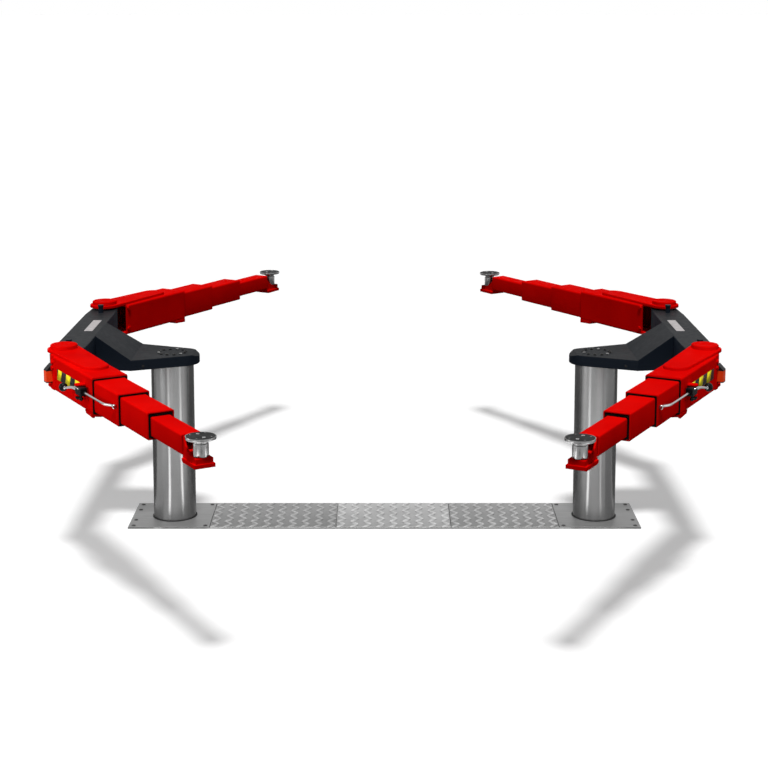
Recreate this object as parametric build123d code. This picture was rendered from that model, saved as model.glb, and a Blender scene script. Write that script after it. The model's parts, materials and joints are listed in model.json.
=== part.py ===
from build123d import *
import math
import os

# Two-plunger in-ground car lift, shown from the floor up.
# Frame: +X to the right along the line of the two plungers, +Y away from the viewer, +Z up.
# The origin lies on the floor midway between the plungers. All lengths are in millimetres.

# Floor plates
plunger_spacing = 1350.0
base_plate_depth = 250.0
base_plate_inward = 123.0
base_plate_outward = 134.0
floor_plate_thickness = 5.0
floor_plate_chamfer = 1.0
plate_seam = 0.6
left_cover_seam = -153.0
right_cover_seam = 210.0

# Plungers and their wiper rings
plunger_diameter = 135.0
plunger_wall = 10.0
plunger_foot_z = 2.0
running_gap = 0.3
wiper_width = 3.2
wiper_stand_out = 1.5

# Yokes: a flat plate on the plunger, with a bevelled nose, that rises as a ramp to the cross-beam
yoke_underside_z = 508.0
yoke_plate_thickness = 33.0
nose_radius = 65.0
nose_reach = 87.0
nose_bevel_reach = 20.0
nose_bevel_depth = 10.0
fold_distance = 112.0
fold_half_width = 127.0
ramp_top_half_width = 106.0

# Cross-beams, which run fore and aft outside the plungers
beam_offset = 273.0
beam_width = 96.0
beam_rise = 74.0
beam_height = 81.0
beam_wall = 8.0
beam_taper = 110.0
beam_end_radius = 42.0
pivot_y = 353.0
lock_pin_clearance = 17.0
lock_pin_radius = 8.0
lock_pin_height = 26.0
lock_knob_radius = 9.5
lock_knob_height = 6.0

# Pivot pins
pin_radius = 20.0
pin_head_radius = 40.0
pin_head_height = 11.0
pin_fit = 0.1
pin_end_drop = 3.0

# Outer arm sections: a box with a clevis at its root
box_width = 104.0
box_wall = 6.0
box_floor = 8.0
box_corner = 6.0
box_length = 377.0
root_inset = 3.5
clevis_gap = 6.0
clevis_floor_gap = 6.0
clevis_roof_gap = 7.0
seam_distance = 68.0
seam_width = 3.0
seam_depth = 1.5
top_plate_thickness = 9.0
top_plate_reach = 300.0
top_plate_tip_radius = 38.0
lip_length = 61.0
lip_depth = 11.0
lip_run_in = 8.0
lip_slope = 3.0
lip_floor_rise = 3.0
lip_floor_thickness = 6.0
mouth_niche = 20.0
tongue_length = 10.0
tongue_tip_width = 64.0

# Telescoping sections: gaps, walls, how far each stands out of the one before, and lengths
slide_side_gap = 4.5
slide_floor_gap = 2.0
slide_top_gap = 4.0
tip_top_gap = 8.0
second_wall = 5.0
third_wall = 4.5
tip_wall = 4.0
second_stand_out = 181.0
third_stand_out = 188.0
tip_stand_out = 192.0
second_length = 334.0
third_length = 354.0
tip_length = 378.0
tail_collar = 24.0
mouth_guide = 22.0
mouth_recess = 10.0
tube_corner = 5.0
smallest_corner = 1.0

# Stepped end bracket and lifting pad
pad_ahead = 56.0
foot_front = 24.0
foot_overlap = 3.0
foot_rise = 3.5
foot_upper_height = 14.0
foot_lower_height = 11.0
foot_ledge = 4.5
foot_heel_radius = 7.0
gusset_thickness = 5.0
gusset_length = 46.0
gusset_drop = 3.5
gusset_root = 6.0
gusset_sink = 2.0
gusset_hollow_along = 0.45
gusset_hollow_up = 0.3
post_radius = 19.5
spigot_radius = 15.0
spigot_length = 20.0
post_groove_depth = 1.6
post_groove_rise = 33.0
post_groove_height = 6.0
pad_radius = 38.5
pad_flange_thickness = 3.0
pad_rim = 1.5
pad_cover_thickness = 5.5
pad_height = 51.5
pad_bevel = 1.2

# Lock levers on the outer sides of the arms
lever_set_back = 65.0
lever_stand_off = 14.0
lever_rise = 58.0
hub_length = 60.0
hub_width = 20.0
hub_height = 24.0
hub_edge = 3.0
lever_pin_radius = 4.5
lug_thickness = 4.0
lug_length = 26.0
lug_gap = 0.5
rod_radius = 3.5
rod_seat = 4.0
rod_toe_in = 1.0
rod_bend = 48.0
rod_tip_gap = 0.3
cap_set_back = 18.0
cap_radius = 6.5
cap_length = 9.0
knob_radius = 12.0
knob_back = 84.0
knob_out = 18.0

# Bumpers at the outer rear corners of the arms
bumper_start = 19.0
bumper_length = 24.0
bumper_stand_out = 18.0
bumper_rise = 21.0
bumper_block_height = 38.0
bumper_wedge_height = 17.0

# Broken edges, the overlap of pieces that are welded into one, and the margin of cuts
edge_break = 1.5
pin_head_chamfer = 2.0
weld_overlap = 1.0
cut_margin = 1.0

# Swing of each arm, inward from straight ahead, in degrees
swing = {"front_left": 30.2, "rear_left": 30.1, "front_right": 28.4, "rear_right": 32.7}
side_sign = {"left": -1, "right": 1}
end_sign = {"front": -1, "rear": 1}

# Sizes that follow from the ones above
plunger_radius = plunger_diameter / 2
plunger_x = plunger_spacing / 2
yoke_top_z = yoke_underside_z + yoke_plate_thickness
beam_top_z = yoke_top_z + beam_rise
beam_bottom_z = beam_top_z - beam_height
box_floor_z = beam_bottom_z - clevis_floor_gap
box_bottom_z = box_floor_z - box_floor
box_top_z = beam_top_z + clevis_roof_gap
plate_top_z = box_top_z + top_plate_thickness
pin_end_z = box_bottom_z - pin_end_drop
root_radius = box_width / 2 - root_inset
lock_pin_inset = root_radius + lock_pin_clearance + lock_knob_radius
pad_flange_radius = pad_radius - pad_rim
lever_z = box_bottom_z + lever_rise
bumper_bottom_z = box_bottom_z + bumper_rise
wall_start = beam_width / 2 + clevis_gap
cheek_inner = box_width / 2 - box_wall
cheek_start = math.sqrt(max(wall_start ** 2 - cheek_inner ** 2, 0))
lip_start = box_length - lip_length
lip_floor_z = box_bottom_z - lip_depth + lip_floor_rise
niche_floor_z = lip_floor_z + lip_floor_thickness
second_reach = box_length + second_stand_out
third_reach = second_reach + third_stand_out
tip_reach = third_reach + tip_stand_out
pad_distance = tip_reach + pad_ahead
lever_distance = box_length - lever_set_back
rod_reach = second_reach - cap_set_back - rod_bend - lever_distance


def corner_names():
    """The four arms as (name, side, end) with side and end as -1 or 1."""
    for end_word, end in end_sign.items():
        for side_word, side in side_sign.items():
            yield f"{end_word}_{side_word}", side, end


def block(x0, x1, y0, y1, z0, z1):
    """A box between two corners."""
    size = Box(x1 - x0, y1 - y0, z1 - z0)
    return Pos((x0 + x1) / 2, (y0 + y1) / 2, (z0 + z1) / 2) * size


def post(x, y, radius, z0, z1):
    """An upright cylinder between two heights."""
    return Pos(x, y, (z0 + z1) / 2) * Cylinder(radius, z1 - z0)


def tapered_slot(radius_1, x_2, radius_2):
    """A flat outline round two circles: one at the origin, one at x_2, joined by tangents."""
    slope = (radius_1 - radius_2) / x_2
    rise = math.sqrt(1 - slope ** 2)
    near = (radius_1 * slope, radius_1 * rise)
    far = (x_2 + radius_2 * slope, radius_2 * rise)
    web = Polygon((near[0], -near[1]), (far[0], -far[1]), far, near, align=None)
    return web + Circle(radius_1) + Pos(x_2, 0) * Circle(radius_2)


def flat_plate(outline, z0, z1):
    """A plan outline made into a plate between two heights."""
    return extrude(Pos(0, 0, z0) * outline, z1 - z0, dir=(0, 0, 1))


def side_profile(points, half_width):
    """A polygon of (x, z) points made solid across the width, centred on y = 0."""
    outline = Plane.XZ * Polygon(*points, align=None)
    return extrude(outline, half_width, both=True)


def tube(x0, x1, width, z0, height, wall, corner, floor=None):
    """A rectangular tube along X with rounded corners; the floor may be thicker than the walls."""
    floor = wall if floor is None else floor
    outer = Plane.YZ * Pos(0, z0 + height / 2) * RectangleRounded(width, height, corner)
    inner_height = height - wall - floor
    inner_middle = z0 + floor + inner_height / 2
    inner_corner = max(corner - wall, smallest_corner)
    inner = Plane.YZ * Pos(0, inner_middle) * RectangleRounded(width - 2 * wall, inner_height, inner_corner)
    return Pos(x0, 0, 0) * extrude(outer - inner, x1 - x0)


def ring_along_x(x0, x1, outer_width, outer_z, inner_width, inner_z):
    """A rectangular frame along X; outer_z and inner_z are (low, high) heights."""
    half_out = outer_width / 2
    half_in = inner_width / 2
    body = block(x0, x1, -half_out, half_out, outer_z[0], outer_z[1])
    return body - block(x0 - cut_margin, x1 + cut_margin, -half_in, half_in, inner_z[0], inner_z[1])


class Section:
    """One telescoping tube: its outside, its inside and its stations along the arm."""

    def __init__(self, width, bottom, height, wall, floor, front):
        self.width = width
        self.bottom = bottom
        self.height = height
        self.wall = wall
        self.floor = floor
        self.front = front
        self.top = bottom + height
        self.inner_width = width - 2 * wall
        self.inner_z = (bottom + floor, bottom + height - wall)

    def inside(self, wall, front, top_gap):
        """The next tube, which slides inside this one."""
        width = self.inner_width - 2 * slide_side_gap
        bottom = self.inner_z[0] + slide_floor_gap
        return Section(width, bottom, self.inner_z[1] - top_gap - bottom, wall, wall, front)


box = Section(box_width, box_bottom_z, box_top_z - box_bottom_z, box_wall, box_floor, box_length)
second = box.inside(second_wall, second_reach, slide_top_gap)
third = second.inside(third_wall, third_reach, slide_top_gap)
tip = third.inside(tip_wall, tip_reach, tip_top_gap)
foot_top_z = tip.bottom + foot_rise
pad_top_z = foot_top_z + pad_height
post_groove_z = foot_top_z + post_groove_rise


def tail_ring(inner, outer, rear):
    """The collar at the rear of a tube, which slides on the walls of the tube around it."""
    high = (outer.inner_z[0] + running_gap, outer.inner_z[1] - running_gap)
    hollow = (inner.inner_z[0], inner.inner_z[1])
    width = outer.inner_width - 2 * running_gap
    return ring_along_x(rear, rear + tail_collar, width, high, inner.inner_width, hollow)


def mouth_ring(outer, inner):
    """The guide just inside a tube's mouth, which steadies the tube that slides through it."""
    front = outer.front - mouth_recess
    hollow = (inner.bottom - running_gap, inner.top + running_gap)
    width = inner.width + 2 * running_gap
    # The guide reaches half into the wall, so that it is one piece with it.
    high = (outer.inner_z[0] - outer.floor / 2, outer.inner_z[1] + outer.wall / 2)
    outer_width = outer.inner_width + outer.wall
    return ring_along_x(front - mouth_guide, front, outer_width, high, width, hollow)


def cover_plates():
    """The floor plates between the two base plates."""
    end = plunger_x - base_plate_inward
    half = base_plate_depth / 2
    lines = [-end, left_cover_seam, right_cover_seam, end - plate_seam]
    names = ["cover_plate_left", "cover_plate_middle", "cover_plate_right"]
    plates = {}
    for name, low, high in zip(names, lines, lines[1:]):
        plate = block(low + plate_seam, high, -half, half, 0, floor_plate_thickness)
        plates[name] = chamfer(plate.edges().group_by(Axis.Z)[-1], floor_plate_chamfer)
    return plates


def base_plate(side):
    """A nearly square plate with the hole that the plunger and its wiper ring pass through."""
    x = side * plunger_x
    half = base_plate_depth / 2
    inner = x - side * base_plate_inward
    outer = x + side * base_plate_outward
    plate = block(min(inner, outer), max(inner, outer), -half, half, 0, floor_plate_thickness)
    plate = chamfer(plate.edges().group_by(Axis.Z)[-1], floor_plate_chamfer)
    hole_radius = plunger_radius + running_gap + wiper_width
    return plate - post(x, 0, hole_radius, -cut_margin, floor_plate_thickness + cut_margin)


def wiper_ring(side):
    """The rubber ring that closes the gap round the plunger."""
    x = side * plunger_x
    inner = plunger_radius + running_gap
    top = floor_plate_thickness + wiper_stand_out
    return post(x, 0, inner + wiper_width, 0, top) - post(x, 0, inner, -cut_margin, top + cut_margin)


def plunger(side):
    """The steel plunger, a thick tube that carries the yoke on its upper end."""
    x = side * plunger_x
    body = post(x, 0, plunger_radius, plunger_foot_z, yoke_underside_z)
    bore_radius = plunger_radius - plunger_wall
    return body - post(x, 0, bore_radius, plunger_foot_z - cut_margin, yoke_underside_z - plunger_wall)


def yoke_outline():
    """Plan of a yoke: a round nose, flaring sides and the narrowing ramp, with +X outwards."""
    centre = nose_radius - nose_reach
    away = math.hypot(fold_distance - centre, fold_half_width)
    turn = math.atan2(fold_half_width, fold_distance - centre) + math.acos(nose_radius / away)
    touch = (centre + nose_radius * math.cos(turn), nose_radius * math.sin(turn))
    edge = beam_offset - beam_width / 2
    upper = [(edge, ramp_top_half_width), (fold_distance, fold_half_width), touch]
    lower = [(x, -y) for x, y in reversed(upper)]
    return Polygon(*upper, *lower, align=None) + Pos(centre, 0) * Circle(nose_radius)


def is_rim(edge):
    """True for a level edge round the yoke's plate, and not for one that runs across it."""
    span = edge @ 1 - edge @ 0
    level = round(abs(span.Z), 3) == 0
    return level and (edge.geom_type == GeomType.CIRCLE or round(abs(span.X), 3) > 0)


def yoke(side):
    """Plate and ramp in one: the plan outline, cut to the profile seen from the front."""
    edge = beam_offset - beam_width / 2
    nose = -nose_reach - cut_margin
    profile = [
        (nose, yoke_underside_z),
        (edge, yoke_underside_z),
        (edge, beam_top_z),
        (fold_distance, yoke_top_z),
        (nose_bevel_reach - nose_reach, yoke_top_z),
        (-nose_reach, yoke_top_z - nose_bevel_depth),
        (nose, yoke_top_z - nose_bevel_depth),
    ]
    tall = flat_plate(yoke_outline(), yoke_underside_z - cut_margin, beam_top_z + cut_margin)
    body = tall & side_profile(profile, fold_half_width + cut_margin)
    body = chamfer(body.edges().filter_by(is_rim).sort_by(Axis.X), edge_break)
    if side < 0:
        body = mirror(body, about=Plane.YZ)
    return Pos(side * plunger_x, 0, 0) * body


def cross_beam(side):
    """The hollow beam, its narrowing round ends with the pivot bores, and the lock pins on top."""
    x = side * (plunger_x + beam_offset)
    half = beam_width / 2
    straight = pivot_y - beam_taper
    outline = Rectangle(beam_width, 2 * straight)
    for end in end_sign.values():
        end_outline = Rot(0, 0, 90 * end) * tapered_slot(half, beam_taper, beam_end_radius)
        outline += Pos(0, end * straight) * end_outline
    body = flat_plate(Pos(x, 0) * outline, beam_bottom_z, beam_top_z)
    rims = body.edges().group_by(Axis.Z)
    body = chamfer(rims[0] + rims[-1], edge_break)
    inner = half - beam_wall
    low = beam_bottom_z + beam_wall
    body -= block(x - inner, x + inner, -straight, straight, low, beam_top_z - beam_wall)
    for end in end_sign.values():
        bore = pin_radius + pin_fit
        body -= post(x, end * pivot_y, bore, beam_bottom_z - cut_margin, beam_top_z + cut_margin)
        y = end * (pivot_y - lock_pin_inset)
        stem_top = beam_top_z + lock_pin_height
        body += post(x, y, lock_pin_radius, beam_top_z - weld_overlap, stem_top)
        body += post(x, y, lock_knob_radius, stem_top - lock_knob_height, stem_top)
    return body


def pivot_pins(side):
    """The two pins of one beam, each with a broad round head on the arm's top plate."""
    x = side * (plunger_x + beam_offset)
    pins = []
    for end in end_sign.values():
        y = end * pivot_y
        seat = plate_top_z + running_gap
        pin = post(x, y, pin_radius, pin_end_z, seat + pin_head_height)
        head = post(x, y, pin_head_radius, seat, seat + pin_head_height)
        head = chamfer(head.edges().group_by(Axis.Z)[-1], pin_head_chamfer)
        pins.append(pin + head)
    return Compound(children=pins)


def arm_root():
    """The clevis: a floor and a roof plate with round ends about the pivot."""
    half = box_width / 2
    floor_outline = Circle(root_radius) + Pos(wall_start / 2, 0) * Rectangle(wall_start, 2 * root_radius)
    floor_plate = flat_plate(floor_outline, box_bottom_z, box_floor_z)
    tip_x = top_plate_reach - top_plate_tip_radius
    roof_outline = tapered_slot(root_radius, tip_x, top_plate_tip_radius)
    roof = flat_plate(roof_outline, box_top_z, plate_top_z)
    roof = chamfer(roof.edges().group_by(Axis.Z)[-1], edge_break)
    wall_end = wall_start + weld_overlap
    # The cheek starts where its inner face leaves the circle that clears the beam's round end.
    cheek = block(cheek_start, wall_end, cheek_inner, half, box_bottom_z, box_top_z)
    sill = block(cheek_start, wall_end, 0, half, box_bottom_z, box_floor_z)
    return floor_plate + roof + cheek + sill


def arm_lip():
    """The deeper lip under the mouth: two skirts, a floor between them and its short tongue."""
    low = box_bottom_z - lip_depth
    joint_z = box_bottom_z + weld_overlap
    profile = [
        (lip_start, joint_z),
        (lip_start, box_bottom_z),
        (lip_start + lip_run_in, low + lip_slope),
        (box_length, low),
        (box_length, joint_z),
    ]
    lip = side_profile(profile, box_width / 2)
    far = box_length + cut_margin
    lip -= block(lip_start, far, -cheek_inner, cheek_inner, low - cut_margin, lip_floor_z)
    end = box_length + tongue_length
    root = box_length - weld_overlap
    tongue = [
        (root, -cheek_inner),
        (end, -tongue_tip_width / 2),
        (end, tongue_tip_width / 2),
        (root, cheek_inner),
    ]
    return lip + flat_plate(Polygon(*tongue, align=None), lip_floor_z, niche_floor_z)


def lever_lugs():
    """Two small lugs on the outer side, with the upright pin that the lever turns on."""
    y0 = box_width / 2
    y = y0 + lever_stand_off
    parts = []
    low = lever_z - hub_height / 2 - lug_gap
    high = lever_z + hub_height / 2 + lug_gap
    half = lug_length / 2
    for z0, z1 in ((low - lug_thickness, low), (high, high + lug_thickness)):
        arm = block(lever_distance - half, lever_distance + half, y0 - weld_overlap, y, z0, z1)
        parts.append(arm + post(lever_distance, y, half, z0, z1))
    pin = post(lever_distance, y, lever_pin_radius, low - lug_thickness, high + lug_thickness)
    return parts[0] + parts[1] + pin


def outer_section():
    """Root clevis, box tube, roof plate, mouth guide, lip, tongue and lever lugs."""
    body = tube(wall_start, box_length, box.width, box.bottom, box.height, box_wall, box_corner, box_floor)
    body = body + arm_root() + arm_lip() + mouth_ring(box, second) + lever_lugs()
    half = box_width / 2
    seam_end = seam_distance + seam_width
    # The shallow upright seam between the cheek and the box's outer wall.
    body -= block(seam_distance, seam_end, half - seam_depth, half + cut_margin, box_bottom_z, box_top_z)
    # The niche in the mouth, open to the front between the lip's floor and the next section.
    niche_start = box_length - mouth_niche
    far = box_length + cut_margin
    body -= block(niche_start, far, -cheek_inner, cheek_inner, niche_floor_z, second.bottom)
    return body - post(0, 0, pin_radius + running_gap, box_bottom_z - cut_margin, plate_top_z + cut_margin)


def second_section():
    """The second tube, with its tail collar and mouth guide."""
    rear = second_reach - second_length
    body = tube(rear, second_reach, second.width, second.bottom, second.height, second.wall, tube_corner)
    return body + tail_ring(second, box, rear) + mouth_ring(second, third)


def third_section():
    """The third tube, with its tail collar and mouth guide."""
    rear = third_reach - third_length
    body = tube(rear, third_reach, third.width, third.bottom, third.height, third.wall, tube_corner)
    return body + tail_ring(third, second, rear) + mouth_ring(third, tip)


def gusset_profile():
    """Side view of a gusset: down from the tube's end in a hollow curve to the foot."""
    start = tip_reach
    end = start + gusset_length
    top = tip.top - gusset_drop
    low = foot_top_z
    hollow = (start + gusset_hollow_along * gusset_length, low + gusset_hollow_up * (top - low))
    curve = Spline((start, top), hollow, (end, low))
    root = start - gusset_root
    base = low - gusset_sink
    edges = Polyline((end, low), (end, base), (root, base), (root, top), (start, top))
    return make_face(Plane.XZ * (curve + edges))


def end_bracket():
    """The two-tier foot that carries the pad, hung from the tube's end by two gussets."""
    front = pad_distance + foot_front
    middle = foot_top_z - foot_upper_height
    low = middle - foot_lower_height
    half = tip.width / 2
    root = tip_reach - foot_overlap
    upper = block(root, front - foot_ledge / 2, -half, half, middle - weld_overlap, foot_top_z)
    upper = chamfer(upper.edges().group_by(Axis.Z)[-1], edge_break)
    wide = half + foot_ledge
    lower = block(tip_reach, front, -wide, wide, low, middle)
    heel = lower.edges().filter_by(Axis.Y).group_by(Axis.Z)[0].sort_by(Axis.X)[0]
    lower = fillet(heel, foot_heel_radius)
    lower = chamfer(lower.edges().group_by(Axis.Z)[-1], edge_break)
    body = upper + lower
    for y in (-half, half - gusset_thickness):
        body += extrude(Pos(0, y, 0) * gusset_profile(), gusset_thickness, dir=(0, 1, 0))
    bore = spigot_radius + running_gap
    return body - post(pad_distance, 0, bore, low - cut_margin, foot_top_z + cut_margin)


def tip_section():
    """The last tube with its tail collar and the stepped bracket at its end."""
    rear = tip_reach - tip_length
    body = tube(rear, tip_reach, tip.width, tip.bottom, tip.height, tip.wall, tube_corner)
    return body + tail_ring(tip, third, rear) + end_bracket()


def pad_post():
    """The turned post: a spigot in the foot, a grooved stem and a thin flange."""
    seat = foot_top_z + running_gap
    flange_top = pad_top_z - pad_cover_thickness
    flange_low = flange_top - pad_flange_thickness
    groove = post_radius - post_groove_depth
    points = [
        (0, seat - spigot_length),
        (spigot_radius, seat - spigot_length),
        (spigot_radius, seat),
        (post_radius, seat),
        (post_radius, post_groove_z),
        (groove, post_groove_z),
        (groove, post_groove_z + post_groove_height),
        (post_radius, post_groove_z + post_groove_height),
        (post_radius, flange_low),
        (pad_flange_radius, flange_low),
        (pad_flange_radius, flange_top),
        (0, flange_top),
    ]
    return Pos(pad_distance, 0, 0) * revolve(Plane.XZ * Polygon(*points, align=None), Axis.Z)


def pad_cover():
    """The rubber disc on the post's flange, with a bevelled rim."""
    low = pad_top_z - pad_cover_thickness
    disc = Pos(0, 0, low + pad_cover_thickness / 2) * Cylinder(pad_radius, pad_cover_thickness)
    return Pos(pad_distance, 0, 0) * chamfer(disc.edges().group_by(Axis.Z)[-1], pad_bevel)


def lock_lever():
    """Ball knob, hub and bent rod; the rod's cap rests beside the second section."""
    y = box_width / 2 + lever_stand_off
    hub = Box(hub_length, hub_width, hub_height)
    hub = chamfer(hub.edges().filter_by(Axis.Z), hub_edge)
    hub -= post(0, 0, lever_pin_radius + running_gap, -hub_height, hub_height)
    tip_y = second.width / 2 + rod_tip_gap + cap_length
    corner = (rod_reach, -rod_toe_in, 0)
    end = (rod_reach + rod_bend, tip_y - y, 0)
    reach = Polyline((hub_length / 2 - rod_seat, 0, 0), corner, end)
    rod_start = Plane(origin=reach @ 0, z_dir=reach % 0)
    rod = sweep(rod_start * Circle(rod_radius), reach, transition=Transition.ROUND)
    cap = Pos(end[0], end[1] - cap_length / 2, 0) * Rot(90, 0, 0) * Cylinder(cap_radius, cap_length)
    grip_end = (-knob_back, knob_out, 0)
    grip = Polyline((rod_seat - hub_length / 2, 0, 0), grip_end)
    handle = sweep(Plane(origin=grip @ 0, z_dir=grip % 0) * Circle(rod_radius), grip)
    knob = Pos(*grip_end) * Sphere(knob_radius)
    return Pos(lever_distance, y, lever_z) * (hub + rod + cap + handle + knob)


def bumper():
    """The block at the outer rear corner of an arm, with a sloped top."""
    y0 = box_width / 2
    y1 = y0 + bumper_stand_out
    top = bumper_bottom_z + bumper_block_height
    points = [(y0, bumper_bottom_z), (y1, bumper_bottom_z), (y1, top), (y0, top + bumper_wedge_height)]
    outline = Plane.YZ * Polygon(*points, align=None)
    return Pos(bumper_start, 0, 0) * extrude(outline, bumper_length, dir=(1, 0, 0))


def placed(shape, name, side, end):
    """Put an arm's piece, made along +X with its outer side at +Y, at its corner of the lift."""
    angle = math.radians(swing[name])
    along = math.degrees(math.atan2(end * math.cos(angle), -side * math.sin(angle)))
    if side * end > 0:
        shape = mirror(shape, about=Plane.XZ)
    x = side * (plunger_x + beam_offset)
    return Location((x, end * pivot_y, 0), (0, 0, along)) * shape


def arm_pieces():
    """Every piece of one arm, by the first word of its node's name."""
    return {
        "outer_section": outer_section(),
        "second_section": second_section(),
        "third_section": third_section(),
        "tip_section": tip_section(),
        "pad_post": pad_post(),
        "pad_cover": pad_cover(),
        "lock_lever": lock_lever(),
        "bumper": bumper(),
    }


def all_nodes():
    """Every node of the lift, by name."""
    nodes = cover_plates()
    for word, side in side_sign.items():
        nodes[f"base_plate_{word}"] = base_plate(side)
        nodes[f"wiper_ring_{word}"] = wiper_ring(side)
        nodes[f"plunger_{word}"] = plunger(side)
        nodes[f"yoke_{word}"] = yoke(side)
        nodes[f"cross_beam_{word}"] = cross_beam(side)
        nodes[f"pivot_pins_{word}"] = pivot_pins(side)
    pieces = arm_pieces()
    for name, side, end in corner_names():
        for piece, shape in pieces.items():
            nodes[f"{piece}_{name}"] = placed(shape, name, side, end)
    return nodes


os.makedirs("parts", exist_ok=True)
for node_name, node_shape in all_nodes().items():
    export_step(node_shape, f"parts/{node_name}.step")
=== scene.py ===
import json
import math
import bpy
import numpy as np
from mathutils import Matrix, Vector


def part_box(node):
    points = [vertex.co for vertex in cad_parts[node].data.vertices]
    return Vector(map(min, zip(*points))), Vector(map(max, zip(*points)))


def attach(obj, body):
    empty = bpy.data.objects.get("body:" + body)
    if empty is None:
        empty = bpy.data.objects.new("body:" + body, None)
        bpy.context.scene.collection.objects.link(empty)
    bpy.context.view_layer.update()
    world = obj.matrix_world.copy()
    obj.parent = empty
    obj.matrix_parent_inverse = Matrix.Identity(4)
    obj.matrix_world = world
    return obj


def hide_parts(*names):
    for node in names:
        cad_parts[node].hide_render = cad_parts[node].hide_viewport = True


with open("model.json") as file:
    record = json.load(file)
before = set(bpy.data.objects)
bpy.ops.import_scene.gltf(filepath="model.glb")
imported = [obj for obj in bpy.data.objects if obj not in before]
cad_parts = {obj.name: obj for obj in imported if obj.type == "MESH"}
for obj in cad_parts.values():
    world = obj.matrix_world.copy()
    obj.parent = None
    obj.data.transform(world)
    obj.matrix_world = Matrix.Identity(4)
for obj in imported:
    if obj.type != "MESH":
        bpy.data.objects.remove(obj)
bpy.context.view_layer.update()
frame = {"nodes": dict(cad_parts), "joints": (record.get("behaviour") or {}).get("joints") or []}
nodes = frame["nodes"]
joints = {joint["name"]: joint for joint in frame["joints"]}

MM = 0.001

# Driving sizes, in millimetres
CORNERS = ("front_left", "rear_left", "front_right", "rear_right")
SIDES = {"left": -1, "right": 1}
tape_drop = 41.0
tape_height = 31.0
tape_start = 86.0
tape_end = 316.0
tape_stripe = 37.5
tape_lean = 11.0
tape_right_shift = 20.5
tape_right_lead = 30.0
tape_film = 0.3
stripe_film = 0.15
shortest_stripe = 4.0
roof_over_beam = 16.0
beam_plate_inward = 26.0
beam_plate_outward = 1.0
beam_plate_front = -30.0
beam_plate_back = 145.0
beam_plate_corner = 4.0
beam_plate_film = 0.5
floor_screw_lines = (52.0, 108.0)
floor_screw_outer_margin = 16.0
floor_screw_inner_margin = 14.0
floor_screw_sink = 0.2
bolt_circle = 86.0
bolt_count = 12
yoke_plate = 33.0
yoke_nose_centre = -22.0
yoke_nose_radius = 65.0
yoke_fold = 112.0
yoke_screw_reach = 77.0
yoke_screw_rise = 13.0
tread_pitch = 40.0
tread_step = 27.0
tread_length = 37.0
tread_width = 15.0
tread_rise = 2.4
post_radius = 19.5
spigot_radius = 14.5
spigot_length = 20.0
knob_radius = 12.5
knob_drop = 8.0
rod_radius = 3.3
cap_radius = 6.5
handle_rise = 9.0
hub_tail = 6.0
hub_reach = 38.0
hub_half_height = 12.0
hub_half_depth = 10.0
# Each stud's place along the hub and its length
stud_stations = ((2.0, 27.0), (30.0, 25.0))
cheek_bolt_station = 62.0
cheek_bolt_set_back = 14.0
outer_cheek_drops = (27.0, 45.0)
inner_cheek_drops = (18.0, 90.0)
bumper_wedge = 20.0
bumper_foot = 3.0
# Half width, lowest and highest level of each square tube
section_sizes = {
    "second_section": (45.8, 524.0, 612.5),
    "third_section": (37.5, 530.0, 603.5),
    "tip_section": (28.0, 539.5, 591.0),
}
section_wall = 3.5
section_edge = 5.0
section_bevel = 1.2
# How far a mouth stops short of its node's box, and how far a tail starts inside it
section_short = {"outer_section": 10.0, "second_section": 5.0, "third_section": 5.0, "tip_section": 80.0}
section_late = {"second_section": 0.0, "third_section": 0.0, "tip_section": 26.0}
# Sizes of the black frames at the section mouths, which paint the shade in the gaps there
mouth_gap = 5.0
mouth_frame_depth = 3.0
mouth_clearance = 0.3


# Meshes

class Shape:
    """Points in millimetres, arrays of equal-sided faces, and at need a (u, v) for each face corner."""

    def __init__(self, points, faces, uv=None):
        self.points = np.asarray(points, float)
        self.faces = [np.asarray(group, int) for group in faces if len(group)]
        self.uv = uv

    def count(self):
        """The number of faces."""
        return sum(len(group) for group in self.faces)

    def moved(self, offset):
        """Every point plus the offset."""
        return Shape(self.points + np.asarray(offset, float), self.faces, self.uv)

    def turned(self, axis, degrees):
        """Every point turned about an axis through the origin, by the rotation matrix of that angle."""
        c, s = math.cos(math.radians(degrees)), math.sin(math.radians(degrees))
        i, j = {"x": (1, 2), "y": (2, 0), "z": (0, 1)}[axis]
        matrix = np.eye(3)
        matrix[i, i], matrix[i, j], matrix[j, i], matrix[j, j] = c, -s, s, c
        return Shape(self.points @ matrix.T, self.faces, self.uv)

    def on_side(self):
        """A shape drawn flat and upright, (x, y, z), laid against the arm's side as (s, z out, y up)."""
        return Shape(self.points[:, [0, 2, 1]], [group[:, ::-1] for group in self.faces])


def joined(*shapes):
    """One shape of all the points and faces, each shape's faces counted on from the points before it."""
    starts = np.cumsum([0] + [len(shape.points) for shape in shapes])
    faces = [group + start for shape, start in zip(shapes, starts) for group in shape.faces]
    return Shape(np.vstack([shape.points for shape in shapes]), faces)


def repeated(shape, places, turns=None):
    """Copies of the shape, each turned about the upright axis by its angle and then moved to its place."""
    places = np.asarray(places, float)
    angle = np.radians(np.zeros(len(places)) if turns is None else turns)
    c, s = np.cos(angle)[:, None], np.sin(angle)[:, None]
    x, y, z = shape.points.T
    level = np.broadcast_to(z, (len(places), len(z)))
    points = np.stack([c * x - s * y, s * x + c * y, level], -1) + places[:, None, :]
    step = np.arange(len(places))[:, None, None] * len(x)
    faces = [(group[None] + step).reshape(-1, group.shape[1]) for group in shape.faces]
    return Shape(points.reshape(-1, 3), faces)


def grid(rows, columns, wrapped):
    """Four-sided faces between neighbouring rows and columns; if wrapped, the last column joins the first."""
    row = np.arange(rows - 1)[:, None]
    column = np.arange(columns if wrapped else columns - 1)[None, :]
    a = row * columns + column
    b = row * columns + (column + 1) % columns
    return np.stack([a, b, b + columns, a + columns], -1).reshape(-1, 4)


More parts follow.
